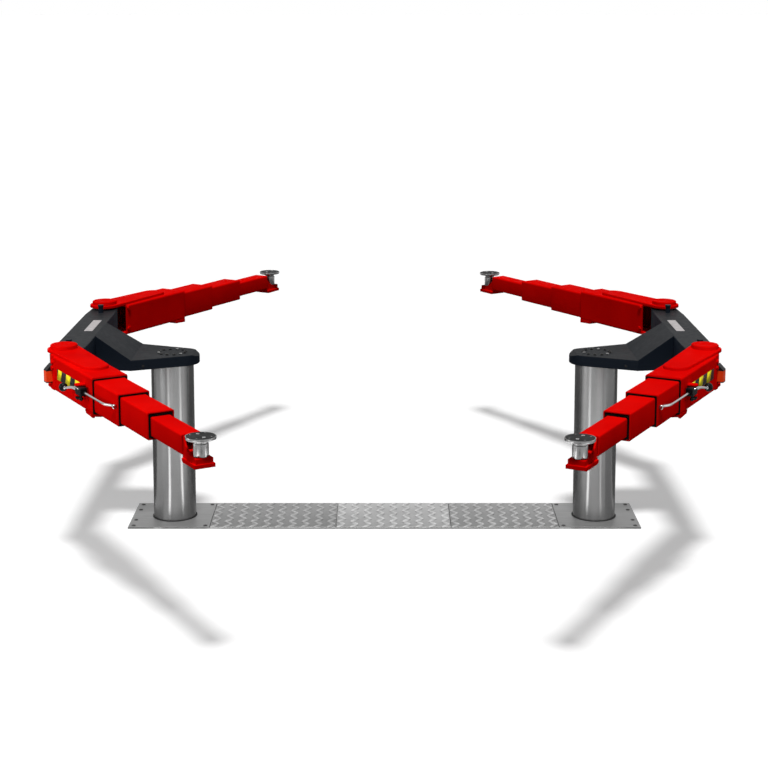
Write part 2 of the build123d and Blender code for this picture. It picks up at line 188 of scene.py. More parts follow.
def lathe(profile, around=48):
    """Each profile row (r, h) becomes (r cos t, r sin t, h) at equal angles t; both ends close as fans."""
    r, h = np.asarray(profile, float).T
    t = np.arange(around) * math.tau / around
    ring = np.stack([np.outer(r, np.cos(t)), np.outer(r, np.sin(t)), np.outer(h, np.ones(around))], -1)
    points = np.vstack([ring.reshape(-1, 3), [[0, 0, h[0]], [0, 0, h[-1]]]])
    i = np.arange(around)
    j = (i + 1) % around
    last = (len(r) - 1) * around
    low = np.stack([np.full(around, len(points) - 2), j, i], -1)
    high = np.stack([np.full(around, len(points) - 1), last + i, last + j], -1)
    return Shape(points, [grid(len(r), around, True), low, high])


def softened(outline, setback, steps=4, closed=False):
    """Each corner C becomes (1-t)^2 A + 2t(1-t) C + t^2 B, with A and B at most the setback from C."""
    outline = np.asarray(outline, float)
    before = np.roll(outline, 1, 0) - outline
    after = np.roll(outline, -1, 0) - outline
    length_before = np.maximum(np.linalg.norm(before, axis=1), 1e-9)
    length_after = np.maximum(np.linalg.norm(after, axis=1), 1e-9)
    reach = np.minimum(np.minimum(length_before, length_after) * 0.45, setback)[:, None]
    a = outline + before / length_before[:, None] * reach
    b = outline + after / length_after[:, None] * reach
    t = np.linspace(0, 1, steps)[None, :, None]
    curve = (1 - t) ** 2 * a[:, None] + 2 * t * (1 - t) * outline[:, None] + t ** 2 * b[:, None]
    if closed:
        return curve.reshape(-1, outline.shape[1])
    return np.vstack([outline[:1], curve[1:-1].reshape(-1, outline.shape[1]), outline[-1:]])


def inset(outline, distance):
    """A closed outline moved inwards along the mean of its two edge normals at each point."""
    edge = np.roll(outline, -1, 0) - outline
    normal = np.stack([-edge[:, 1], edge[:, 0]], -1) / np.linalg.norm(edge, axis=1)[:, None]
    mean = normal + np.roll(normal, 1, 0)
    mean /= np.maximum((mean ** 2).sum(1) / 2, 0.2)[:, None]
    return outline + mean * distance


def slab(outline, low, high, edge=0.0):
    """A plate of the closed outline between two levels; an edge sets its two rims in by that much."""
    outline = np.asarray(outline, float)
    levels = ((low, 0), (high, 0))
    if edge:
        levels = ((low, edge), (low + edge, 0), (high - edge, 0), (high, edge))
    rings = [np.c_[inset(outline, depth), np.full(len(outline), level)] for level, depth in levels]
    n = len(outline)
    ends = np.stack([np.arange(n)[::-1], np.arange(n) + n * (len(levels) - 1)])
    return Shape(np.vstack(rings), [grid(len(levels), n, True), ends])


def rectangle(x0, x1, y0, y1):
    """The four corners of a rectangle, anticlockwise."""
    return np.array([[x0, y0], [x1, y0], [x1, y1], [x0, y1]], float)


def circle(radius, count=24):
    """Points at equal angles round the origin."""
    t = np.arange(count) * math.tau / count
    return np.stack([radius * np.cos(t), radius * np.sin(t)], -1)


def pipe(path, radius, around=16):
    """A circle square to the path: point + r (cos t A + sin t B), with B = T x up made unit and A = B x T."""
    path = np.asarray(path, float)
    radius = np.broadcast_to(np.asarray(radius, float), len(path))
    along = np.gradient(path, axis=0)
    along /= np.linalg.norm(along, axis=1)[:, None]
    b = np.cross(along, (0, 0, 1))
    b /= np.linalg.norm(b, axis=1)[:, None]
    a = np.cross(b, along)
    t = (np.arange(around) * math.tau / around)[None, :, None]
    ring = path[:, None] + radius[:, None, None] * (np.cos(t) * a[:, None] - np.sin(t) * b[:, None])
    points = np.vstack([ring.reshape(-1, 3), path[:1], path[-1:]])
    i = np.arange(around)
    j = (i + 1) % around
    last = (len(path) - 1) * around
    first_end = np.stack([np.full(around, len(points) - 2), j, i], -1)
    last_end = np.stack([np.full(around, len(points) - 1), last + i, last + j], -1)
    return Shape(points, [grid(len(path), around, True), first_end, last_end])


def bar(a, b, radius, bevel=1.0):
    """A straight round bar from a to b whose two ends are set in by the bevel."""
    a, b = np.asarray(a, float), np.asarray(b, float)
    step = (b - a) / np.linalg.norm(b - a) * bevel
    return pipe([a, a + step, b - step, b], (radius - bevel, radius, radius, radius - bevel))


def ball(radius, centre, around=32, rows=17):
    """A sphere as a half circle of radius turned about the upright axis."""
    v = np.linspace(0.02, math.pi - 0.02, rows)
    return lathe(np.stack([radius * np.sin(v), -radius * np.cos(v)], -1), around).moved(centre)


def hex_head(across, height):
    """A six-sided head with its rims set in."""
    return slab(circle(across / math.sqrt(3), 6), 0, height, height * 0.14)


def socket_head(across, height, socket):
    """A round head of radius r with a hole of the socket's radius sunk in its top."""
    r = across / 2
    floor = height * 0.45
    profile = [(r * 0.9, 0), (r, 0), (r, height), (socket, height), (socket, floor), (0.1, height * 0.4)]
    return lathe(softened(profile, r * 0.14, 3), 18)


def make_piece(name, shape, body, slot, *materials, faceted=35, pick=None, smooth=True):
    """Puts the shape into a mesh in metres, smooth across edges flatter than the angle, and on a body."""
    mesh = bpy.data.meshes.new(name)
    mesh.vertices.add(len(shape.points))
    mesh.vertices.foreach_set("co", (shape.points * MM).ravel().astype(np.float32))
    counts = np.concatenate([np.full(len(group), group.shape[1]) for group in shape.faces])
    corners = np.concatenate([group.ravel() for group in shape.faces])
    mesh.loops.add(len(corners))
    mesh.loops.foreach_set("vertex_index", corners.astype(np.int32))
    mesh.polygons.add(len(counts))
    mesh.polygons.foreach_set("loop_start", (np.cumsum(counts) - counts).astype(np.int32))
    if shape.uv is not None:
        layer = mesh.uv_layers.new(name="Wrap")
        layer.data.foreach_set("uv", np.asarray(shape.uv, np.float32).ravel())
    mesh.update(calc_edges=True)
    mesh.validate()
    if smooth:
        mesh.shade_smooth()
        mesh.set_sharp_from_angle(angle=math.radians(faceted))
    for material in materials:
        mesh.materials.append(material)
    if pick is not None:
        mesh.polygons.foreach_set("material_index", np.asarray(pick, np.int32))
    piece = bpy.data.objects.new(name, mesh)
    bpy.context.scene.collection.objects.link(piece)
    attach(piece, body)
    return piece


def node_box(node):
    """A node's lowest and highest corners, in millimetres."""
    low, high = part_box(node)
    return np.array(low) / MM, np.array(high) / MM


class Arm:
    """One swing arm's frame: s along it from its pivot, o towards its outer side, height from the floor."""

    def __init__(self, corner):
        self.name = corner
        self.side = SIDES[corner.split("_")[1]]
        swing = joints[f"swing_{corner}"]
        self.pivot = np.array([swing["pos_m"][0] / MM, swing["pos_m"][1] / MM, 0.0])
        self.along = np.array(joints[f"extend_{corner}_second"]["axis"], float)
        across = np.cross(self.along, (0, 0, 1))
        self.out = across if across[0] * self.side > 0 else -across
        self.axes = np.stack([self.along, self.out, (0, 0, 1)])
        low, high = self.box("outer_section")
        self.half_width = -low[1]
        self.roof = high[2]
        self.tube_half_width = -self.box("second_section")[0][1]

    def place(self, shape):
        """Pivot + s along + o out + height up; on a left-handed arm the faces are turned round."""
        points = self.pivot + shape.points @ self.axes
        right_handed = np.linalg.det(self.axes) > 0
        return Shape(points, shape.faces if right_handed else [group[:, ::-1] for group in shape.faces])

    def placed(self, shape):
        """A turned shape moved to its place on the arm without turning, which keeps its (u, v)."""
        x, y = shape.points.mean(0)[:2]
        middle = self.pivot + np.array([x, y, 0.0]) @ self.axes
        return shape.moved((middle[0] - x, middle[1] - y, 0))

    def box(self, node):
        """Lowest and highest s, o and height of a node of this arm."""
        mesh = nodes[f"{node}_{self.name}"].data
        points = np.empty(len(mesh.vertices) * 3)
        mesh.vertices.foreach_get("co", points)
        local = (points.reshape(-1, 3) / MM - self.pivot) @ self.axes.T
        return local.min(0), local.max(0)

    def local(self, point):
        """A point in metres as (s, o, height) in millimetres."""
        return (np.array(point) / MM - self.pivot) @ self.axes.T


# Materials

class Finish:
    """A Principled material, with short ways to build its colour, roughness and relief from nodes."""

    def __init__(self, name, color, roughness, metallic=0.0, specular=0.5):
        self.material = bpy.data.materials.new(name)
        self.material.use_nodes = True
        self.tree = self.material.node_tree
        self.shader = self.tree.nodes["Principled BSDF"]
        self.set("Base Color", (*color, 1))
        self.set("Roughness", roughness)
        self.set("Metallic", metallic)
        self.set("Specular IOR Level", specular)
        self.place = self.add("ShaderNodeTexCoord").outputs["Object"]
        self.material.diffuse_color = (*color, 1)

    def set(self, socket, value):
        """A value that is the same all over, on the shader's own socket."""
        self.shader.inputs[socket].default_value = value

    def add(self, kind, inputs=(), **settings):
        """A node of that kind, with its settings, and its inputs joined to sockets or set to values."""
        node = self.tree.nodes.new(kind)
        for key, value in settings.items():
            setattr(node, key, value)
        for key, value in dict(inputs).items():
            if isinstance(value, bpy.types.NodeSocket):
                self.tree.links.new(value, node.inputs[key])
            else:
                node.inputs[key].default_value = value
        return node

    def stretched(self, scale):
        """Object coordinates times a scale on each axis, which draws a pattern out along the smaller ones."""
        return self.add("ShaderNodeMapping", {"Vector": self.place, "Scale": scale}).outputs[0]

    def noise(self, scale, detail=4.0, roughness=0.55, vector=None):
        """Cloudy noise from 0 to 1, with its grain so many times a metre."""
        inputs = {"Vector": vector or self.place, "Scale": scale, "Detail": detail, "Roughness": roughness}
        return self.add("ShaderNodeTexNoise", inputs).outputs["Fac"]

    def ramp(self, value, *stops):
        """Colours blended between stops of (place, colour)."""
        node = self.add("ShaderNodeValToRGB", {"Fac": value})
        elements = node.color_ramp.elements
        for place, color in stops[2:]:
            elements.new(place)
        for element, (place, color) in zip(elements, stops):
            element.position = place
            element.color = (*color, 1)
        return node.outputs["Color"]

    def between(self, value, low, high):
        """A value from 0 to 1 spread over low to high."""
        return self.add("ShaderNodeMapRange", {"Value": value, "To Min": low, "To Max": high}).outputs[0]

    def step(self, value, low, high):
        """0 below low, 1 above high, and a straight slope between."""
        return self.add("ShaderNodeMapRange", {"Value": value, "From Min": low, "From Max": high}).outputs[0]

    def facing_up(self, low=0.35, high=0.9):
        """1 on faces that look up, and 0 on those that look sideways."""
        normal = self.add("ShaderNodeNewGeometry").outputs["Normal"]
        return self.step(self.add("ShaderNodeSeparateXYZ", {"Vector": normal}).outputs["Z"], low, high)

    def height(self):
        """Height above the floor, in metres."""
        return self.add("ShaderNodeSeparateXYZ", {"Vector": self.place}).outputs["Z"]

    def blend(self, factor, a, b):
        """Colour a mixed with colour b by the factor."""
        node = self.add("ShaderNodeMix", data_type="RGBA")
        for index, value in ((0, factor), (6, a), (7, b)):
            if isinstance(value, bpy.types.NodeSocket):
                self.tree.links.new(value, node.inputs[index])
            else:
                node.inputs[index].default_value = (*value, 1)
        return node.outputs[2]

    def color(self, socket):
        """Joins a colour to the shader."""
        self.tree.links.new(socket, self.shader.inputs["Base Color"])

    def rough(self, socket):
        """Joins a roughness to the shader."""
        self.tree.links.new(socket, self.shader.inputs["Roughness"])

    def relief(self, height, depth, strength=1.0, edge=0.0):
        """Bump of so many metres from a height of 0 to 1, over edges that look rounded by the edge radius."""
        inputs = {"Height": height, "Distance": depth, "Strength": strength}
        if edge:
            inputs["Normal"] = self.add("ShaderNodeBevel", {"Radius": edge}, samples=6).outputs[0]
        self.tree.links.new(self.add("ShaderNodeBump", inputs).outputs[0], self.shader.inputs["Normal"])


def red_paint():
    """Red paint on steel: a slow drift of tone, fine orange peel, and corners that look rounded."""
    finish = Finish("Red_paint", (0.72, 0.0015, 0.001), 0.45, specular=0.0006)
    drift = finish.noise(7.0, 3.0)
    finish.color(finish.ramp(drift, (0.3, (0.66, 0.001, 0.0008)), (0.7, (0.78, 0.002, 0.001))))
    finish.rough(finish.between(finish.noise(40.0, 2.0), 0.40, 0.52))
    finish.relief(finish.noise(420.0, 2.0), 0.00012, 0.5, edge=0.002)
    return finish.material


def dark_coat():
    """Satin blue-black powder coat, with painted light: faces that look up are painted a lighter grey, in
    cloudy patches.
    """
    finish = Finish("Dark_coat", (0.010, 0.014, 0.022), 0.5, specular=0.03)
    cloud = finish.noise(9.0, 5.0)
    # Painted light: a lighter grey, in cloudy patches, for the faces that look up.
    painted_top_light = finish.ramp(cloud, (0.3, (0.011, 0.0122, 0.0138)), (0.7, (0.0175, 0.019, 0.0213)))
    finish.color(finish.blend(finish.facing_up(), (0.0098, 0.0148, 0.0235), painted_top_light))
    finish.rough(finish.between(finish.noise(55.0, 3.0), 0.42, 0.6))
    finish.relief(finish.noise(700.0, 2.0), 0.00015, 0.5, edge=0.002)
    return finish.material


def ground_steel(name, light, roughness):
    """Ground steel whose fine rings round the column draw each reflection out into an upright streak."""
    finish = Finish(name, (light,) * 3, roughness, metallic=1.0)
    finish.set("Anisotropic", 0.9)
    finish.set("Anisotropic Rotation", 0.25)
    tangent = finish.add("ShaderNodeTangent", direction_type="UV_MAP", uv_map="Wrap").outputs[0]
    finish.tree.links.new(tangent, finish.shader.inputs["Tangent"])
    rings = finish.noise(1.0, 3.0, vector=finish.stretched((1.0, 1.0, 700.0)))
    finish.color(finish.ramp(rings, (0.3, (light * 0.95,) * 3), (0.7, (light * 1.05,) * 3)))
    return finish.material


def plate_steel():
    """Rolled steel plate, dull and faintly streaked along its length."""
    finish = Finish("Rolled_plate", (0.5, 0.5, 0.5), 0.45, metallic=0.8)
    streak = finish.noise(1.0, 5.0, vector=finish.stretched((14.0, 180.0, 60.0)))
    cloud = finish.noise(11.0, 4.0)
    shade = finish.ramp(streak, (0.25, (0.27, 0.27, 0.27)), (0.75, (0.40, 0.40, 0.40)))
    face = finish.blend(finish.between(cloud, 0.0, 0.5), shade, (0.42, 0.42, 0.42))
    finish.color(finish.blend(finish.facing_up(0.75, 0.97), (0.1, 0.1, 0.1), face))
    finish.rough(finish.between(cloud, 0.38, 0.52))
    finish.relief(streak, 0.0001, 0.35, edge=0.001)
    return finish.material


def tread_steel(name, light):
    """Checker plate steel of a given lightness, in cloudy patches; a lighter copy on the raised bars is a
    painted highlight.
    """
    finish = Finish(name, (light, light, light), 0.36, metallic=0.85)
    cloud = finish.noise(8.0, 5.0)
    face = finish.ramp(cloud, (0.3, (light * 0.88,) * 3), (0.7, (light * 1.1,) * 3))
    finish.color(finish.blend(finish.facing_up(0.75, 0.97), (0.1, 0.1, 0.1), face))
    finish.rough(finish.between(finish.noise(90.0, 3.0), 0.28, 0.44))
    finish.relief(finish.noise(260.0, 3.0), 0.00015, 0.4, edge=0.001)
    return finish.material


def bright_steel(name, light, roughness):
    """Bright zinc or chrome on turned steel, with faint turning marks."""
    finish = Finish(name, (light,) * 3, roughness, metallic=1.0)
    marks = finish.noise(1.0, 2.0, vector=finish.stretched((20.0, 20.0, 800.0)))
    finish.color(finish.ramp(marks, (0.3, (light * 0.85,) * 3), (0.7, (light * 1.12,) * 3)))
    finish.rough(finish.between(finish.noise(60.0, 3.0), roughness * 0.75, roughness * 1.4))
    return finish.material


def rubber(name, tone):
    """Black rubber, dusty and slightly grained."""
    finish = Finish(name, (tone,) * 3, 0.6, specular=0.02)
    cloud = finish.noise(60.0, 4.0)
    finish.color(finish.ramp(cloud, (0.3, (tone * 0.7,) * 3), (0.7, (tone * 1.4,) * 3)))
    finish.rough(finish.between(cloud, 0.5, 0.75))
    finish.relief(finish.noise(900.0, 2.0), 0.0002, 0.5)
    return finish.material


def bumper_plastic(low, high):
    """Moulded orange plastic with a fine grain, black above and below the heights of its coloured band."""
    finish = Finish("Bumper_plastic", (0.80, 0.045, 0.003), 0.45, specular=0.1)
    drift = finish.noise(25.0, 3.0)
    orange_tone = finish.ramp(drift, (0.3, (0.96, 0.062, 0.004)), (0.7, (1.0, 0.075, 0.008)))
    height = finish.height()
    edge = 0.0004
    black = (0.006, 0.006, 0.007)
    upper = finish.step(height, high - edge, high + edge)
    lower = finish.step(height, low + edge, low - edge)
    banded = finish.blend(upper, orange_tone, black)
    finish.color(finish.blend(lower, banded, black))
    finish.relief(finish.noise(800.0, 2.0), 0.00015, 0.4, edge=0.0012)
    return finish.material


def film(name, color, scuffed):
    """Printed tape, satin, with slightly uneven wear."""
    finish = Finish(name, color, 0.45, specular=0.08)
    finish.color(finish.ramp(finish.noise(70.0, 5.0), (0.35, scuffed), (0.6, color)))
    return finish.material


def black_plastic():
    """Glossy black plastic and blackened steel."""
    finish = Finish("Black_gloss", (0.004, 0.004, 0.005), 0.25, specular=0.06)
    finish.rough(finish.between(finish.noise(80.0, 3.0), 0.2, 0.34))
    return finish.material


def dull_steel(name, light, metallic):
    """Burnished or blackened steel of screws and bolts."""
    finish = Finish(name, (light,) * 3, 0.38, metallic=metallic, specular=0.2)
    finish.color(finish.ramp(finish.noise(140.0, 4.0), (0.3, (light * 0.6,) * 3), (0.7, (light * 1.4,) * 3)))
    return finish.material


bumper_low, bumper_high = node_box("bumper_front_left")
red = red_paint()
coat = dark_coat()
ground = ground_steel("Ground_steel", 0.21, 0.27)
rolled = plate_steel()
# Painted light: the same checker steel is painted its own lightness on each plate, lighter in the middle than
# left and right.
tread_painted_light = {"left": 0.31, "middle": 0.52, "right": 0.34}
# Painted highlight: the raised bars are painted twice as light as their plate.
bar_painted_light = {word: min(light * 2.0, 0.85) for word, light in tread_painted_light.items()}
treads = {word: tread_steel(f"Tread_{word}", light) for word, light in tread_painted_light.items()}
highlit_bar_treads = {word: tread_steel(f"Worn_tread_{word}", light) for word, light in bar_painted_light.items()}
bright = bright_steel("Bright_chrome", 0.40, 0.16)
zinc = ground_steel("Turned_zinc", 0.24, 0.2)
wiper = rubber("Wiper_rubber", 0.03)
pad_rubber = rubber("Pad_rubber", 0.034)
orange = bumper_plastic((bumper_low[2] + bumper_foot) * MM, (bumper_high[2] - bumper_wedge) * MM)
yellow = film("Tape_yellow", (0.98, 0.84, 0.014), (0.80, 0.68, 0.02))
black_film = film("Tape_black", (0.006, 0.006, 0.007), (0.02, 0.02, 0.022))
gloss_black = black_plastic()
burnished = dull_steel("Burnished_steel", 0.3, 0.9)
blackened = dull_steel("Blackened_steel", 0.008, 0.3)
# Painted shade: near-black rubber for the frames that stand for the shaded gap at each section's mouth.
gap_painted_shade = rubber("Gap_black", 0.004)
sunk_steel = dull_steel("Sunk_steel", 0.07, 0.6)
pale_plate = film("Pale_plate", (0.50, 0.47, 0.47), (0.40, 0.38, 0.38))

NODE_FINISH = {
    "base_plate": rolled,
    "cover_plate_left": treads["left"],
    "cover_plate_middle": treads["middle"],
    "cover_plate_right": treads["right"],
    "wiper_ring": wiper,
    "plunger": ground,
    "yoke": coat,
    "cross_beam": coat,
    "pivot_pins": red,
    "outer_section": red,
    "second_section": red,
    "third_section": red,
    "tip_section": red,
    "pad_post": zinc,
    "pad_cover": pad_rubber,
    "lock_lever": bright,
    "bumper": orange,
}
for name, node in nodes.items():
    finish = next(finish for words, finish in NODE_FINISH.items() if name.startswith(words))
    if not node.material_slots:
        node.data.materials.append(finish)
    for material_slot in node.material_slots:
        material_slot.material = finish


# Floor plates

def tread_bar():
    """A raised bar, u along and v across: half width w cos(1.35 u), height h cos(pi v / 2) to a power."""
    rows, columns = 7, 5
    u, v = np.meshgrid(np.linspace(-1, 1, rows), np.linspace(-1, 1, columns), indexing="ij")
    half = tread_width / 2 * np.cos(u * 1.35)
    height = tread_rise * np.cos(v * math.pi / 2) ** 0.7 * np.minimum(1, (1.02 - u ** 2) * 2.5)
    points = np.stack([u * tread_length / 2, v * half, np.maximum(height, 0) - 0.05], -1).reshape(-1, 3)
    return Shape(points, [grid(rows, columns, False)[:, ::-1]])


def tread_field(word):
    """Bars in columns across a plate, turned 45 degrees one way and the other in turn, kept off its edges."""
    low, high = node_box(f"cover_plate_{word}")
    margin = tread_length * 0.36 + 2
    room = high - low - 2 * margin
    columns = low[0] + margin + np.linspace(0, room[0], round(room[0] / tread_pitch) + 1)
    rows = low[1] + margin + np.linspace(0, room[1], round(room[1] / tread_step) + 1)
    x, y = np.meshgrid(columns, rows, indexing="ij")
    turns = np.broadcast_to(np.where(np.arange(len(rows)) % 2 == 0, 45.0, -45.0), x.shape)
    places = np.stack([x, y, np.full(x.shape, high[2])], -1).reshape(-1, 3)
    return repeated(tread_bar(), places, turns.ravel())


def floor_screws(word):
    """Countersunk screws near the corners of a base plate: each a low dish with a hole."""
    low, high = node_box(f"base_plate_{word}")
    side = SIDES[word]
    outer, inner = (high[0], low[0]) if side > 0 else (low[0], high[0])
    near, far = floor_screw_lines
    spots = [(outer - side * floor_screw_outer_margin, y) for y in (-far, -near, near, far)]
    spots += [(inner + side * floor_screw_inner_margin, y) for y in (-far, far)]
    head = socket_head(across=13, height=1.6, socket=3.0)
    return repeated(head, [(x, y, high[2] - floor_screw_sink) for x, y in spots])


for word in ("left", "middle", "right"):
    field = tread_field(word)
    make_piece(f"raised_tread_{word}", field, "floor_frame", "checker_plate", highlit_bar_treads[word], faceted=60)
for word in SIDES:
    make_piece(f"floor_screws_{word}", floor_screws(word), "floor_frame", "plate_steel", sunk_steel)


# Plungers, yokes and cross-beams

def wrapped(profile, around):
    """A turned shape whose wall corners have u = turn from 0 to 1 and v = height in metres."""
    shape = lathe(profile, around)
    row, column = np.divmod(np.arange((len(profile) - 1) * around), around)
    heights = np.asarray(profile, float)[:, 1] * MM
    u = np.stack([column, column + 1, column + 1, column], -1) / around
    v = np.stack([heights[row], heights[row], heights[row + 1], heights[row + 1]], -1)
    ends = np.zeros((sum(group.size for group in shape.faces[1:]), 2))
    shape.uv = np.vstack([np.stack([u, v], -1).reshape(-1, 2), ends])
    return shape


def plunger_skin(word):
    """The plunger as a turned column with small rounded rims."""
    low, high = node_box(f"plunger_{word}")
    radius = (high[0] - low[0]) / 2
    rim = radius - 6
    profile = softened([(rim, low[2]), (radius, low[2]), (radius, high[2]), (rim, high[2])], 1.5, 4)
    middle = (low + high) / 2
    return wrapped(profile, 128).moved((middle[0], middle[1], 0))


def yoke_bolts(word):
    """A ring of round-headed bolts on the yoke over its plunger; every fourth one is bare steel."""
    low, high = node_box(f"plunger_{word}")
    middle = (low + high) / 2
    t = (np.arange(bolt_count) + 0.5) * math.tau / bolt_count
    x = middle[0] + bolt_circle / 2 * np.cos(t)
    y = middle[1] + bolt_circle / 2 * np.sin(t)
    places = np.stack([x, y, np.full(bolt_count, high[2] + yoke_plate)], -1)
    head = socket_head(across=10, height=3.0, socket=2.4)
    bare = np.arange(bolt_count) % 4 == 2
    pick = np.concatenate([np.tile(bare[:, None], (1, len(group))).ravel() for group in head.faces])
    return repeated(head, places), pick


def yoke_screws(word):
    """A screw each side of the yoke, square to the tangent from its nose's circle to the fold's corner."""
    low, high = node_box(f"yoke_{word}")
    side = SIDES[word]
    column_low, column_high = node_box(f"plunger_{word}")
    axis = (column_low[0] + column_high[0]) / 2
    reach = yoke_fold - yoke_nose_centre
    half = high[1]
    turn = math.atan2(half, reach) + math.acos(yoke_nose_radius / math.hypot(reach, half))
    away = half + (yoke_fold - yoke_screw_reach) / math.tan(turn)
    heads = []
    for end in (-1, 1):
        angle = math.degrees(math.atan2(end * math.sin(turn), side * math.cos(turn)))
        head = socket_head(across=8, height=1.6, socket=2.0).turned("y", 90).turned("z", angle)
        heads.append(head.moved((axis + side * yoke_screw_reach, end * away, low[2] + yoke_screw_rise)))
    return joined(*heads)


def beam_plate(word):
    """A blank pale plate with rounded corners on the beam's top, behind its middle."""
    side = SIDES[word]
    roof = node_box(f"outer_section_front_{word}")[1][2]
    middle = sum(node_box(f"cross_beam_{word}")) / 2
    left, right = sorted((-side * beam_plate_inward, side * beam_plate_outward))
    corners = rectangle(left, right, beam_plate_front, beam_plate_back)
    outline = softened(corners, beam_plate_corner, 4, closed=True)
    return slab(outline, 0, beam_plate_film).moved((middle[0], 0, roof - roof_over_beam))


for word in SIDES:
    skin = make_piece(f"ground_plunger_{word}", plunger_skin(word), f"lift_{word}", "plunger_steel", ground)
    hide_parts(f"plunger_{word}")
    bolts, bare_bolts = yoke_bolts(word)
    make_piece(f"yoke_bolts_{word}", bolts, f"lift_{word}", "dark_coat", blackened, burnished,
               pick=bare_bolts)
    make_piece(f"yoke_screws_{word}", yoke_screws(word), f"lift_{word}", "dark_coat", blackened)
    make_piece(f"beam_plate_{word}", beam_plate(word), f"lift_{word}", "dark_coat", pale_plate)


# Swing arms

def tape(arm):
    """Black tape on the arm's outer side, with leaning yellow stripes: parallelograms in s and height."""
    low, high = arm.roof - tape_drop - tape_height, arm.roof - tape_drop
    viewer_right = np.cross((0, 0, 1), arm.out)
    lean = tape_lean * np.sign(arm.along @ viewer_right) / 2
    first = tape_start + (tape_right_shift if arm.side > 0 else 0)
    start = first - (tape_right_lead if arm.side > 0 else 0)
    backing = slab(rectangle(start, tape_end, low, high), 0, tape_film)
    stripes = []
    for k in range(-1, 3):
        a = max(first + k * 2 * tape_stripe, start + abs(lean) + 0.5)
        b = min(first + (2 * k + 1) * tape_stripe, tape_end)
        if b - a > shortest_stripe:
            outline = [(a - lean, low), (b - lean, low), (b + lean, high), (a + lean, high)]
            stripes.append(slab(outline, tape_film - 0.05, tape_film + stripe_film))
    flat = joined(backing, *stripes)
    return arm.place(flat.on_side().moved((0, arm.half_width, 0))), np.arange(flat.count()) >= backing.count()


def square_outline(half, low, high, edge):
    """A rectangle in (o, height) with rounded corners, anticlockwise."""
    return softened(rectangle(-half, half, low, high), edge, 5, closed=True)


def hollow(rings):
    """Outlines in (o, height), each at its own s, joined in order and last to first: a tube with a wall."""
    n = len(rings[0][0])
    points = np.vstack([np.c_[np.full(n, s), outline] for outline, s in rings])
    return Shape(points, [grid(len(rings) + 1, n, True) % len(points)])


def section(arm, node):
    """A square tube: its outline carried from tail to mouth, then in by the wall and back to the tail."""
    half, low, high = section_sizes[node]
    wall, bevel = section_wall, section_bevel
    tail, mouth = arm.box(node)[0][0] + section_late[node], section_mouth(arm, node)
    outer = square_outline(half, low, high, section_edge)
    rim = square_outline(half - bevel, low + bevel, high - bevel, section_edge)
    inner = square_outline(half - wall, low + wall, high - wall, section_edge / 2)
    rings = [(outer, tail), (outer, mouth - bevel), (rim, mouth), (inner, mouth), (inner, tail)]
    return arm.place(hollow(rings))


def section_mouth(arm, node):
    """Where a section ends: short of its node's box by a tongue, a trim or a bracket."""
    return arm.box(node)[1][0] - section_short[node]


def mouth_shade_frame(arm, around, mouth):
    """A black frame round a section at the mouth of the one outside it, painted shade for the gap there: its
    outline and one set out.
    """
    half, low, high = section_sizes[around]
    gap = mouth_clearance
    inner = square_outline(half + gap, low - gap, high + gap, section_edge)
    outer = square_outline(half + mouth_gap, low - mouth_gap, high + mouth_gap, section_edge)
    back, front = mouth - mouth_frame_depth, mouth + gap
    return arm.place(hollow([(outer, back), (outer, front), (inner, front), (inner, back)]))


def cheek_bolts(arm):
    """Six-sided heads on the arm's root: two on the inner side and two on the outer, all painted."""
    head = hex_head(across=13, height=5).on_side()
    mirrored = Shape(head.points * (1, -1, 1), [group[:, ::-1] for group in head.faces])
    wall = arm.half_width - 0.3
    s = cheek_bolt_station
    outer = [head.moved((s - cheek_bolt_set_back, wall, arm.roof - drop)) for drop in outer_cheek_drops]
    inner = [mirrored.moved((s, -wall, arm.roof - drop)) for drop in inner_cheek_drops]
    return arm.place(joined(*outer, *inner))


def pad_disc(arm):
    """The pad's rubber: a turned disc with shallow rings in its top, inside the spindle's raised rim."""
    low, high = arm.box("pad_cover")
    radius = (high[0] - low[0]) / 2 - 2.2
    base, top = low[2], high[2]
    rings = [(r, top - (0.0 if k % 2 else 0.8)) for k, r in enumerate(np.linspace(radius - 2, 6, 14))]
    profile = [(radius - 3, base), (radius, base + 0.6), (radius, top - 1.0), (radius - 0.8, top - 0.2)]
    disc = lathe(softened(profile + rings, 0.6, 3), 64)
    middle = (low + high) / 2
    return arm.place(disc.moved((middle[0], middle[1], 0)))


def pad_screws(arm):
    """Two countersunk screws across the pad's top and four small ones near its rim."""
    low, high = arm.box("pad_cover")
    middle = (low + high) / 2
    radius = (high[0] - low[0]) / 2
    spots = [(middle[0] + sign * radius * 0.48, middle[1], high[2] - 1.0) for sign in (-1, 1)]
    t = np.radians([45, 135, 225, 315])
    x, y = middle[0] + radius * 0.74 * np.cos(t), middle[1] + radius * 0.74 * np.sin(t)
    rim_spots = np.stack([x, y, np.full(4, high[2] - 0.9)], -1)
    large = socket_head(across=9, height=1.4, socket=2.6)
    small = socket_head(across=4, height=0.8, socket=1.1)
    return arm.place(joined(repeated(large, spots), repeated(small, rim_spots)))


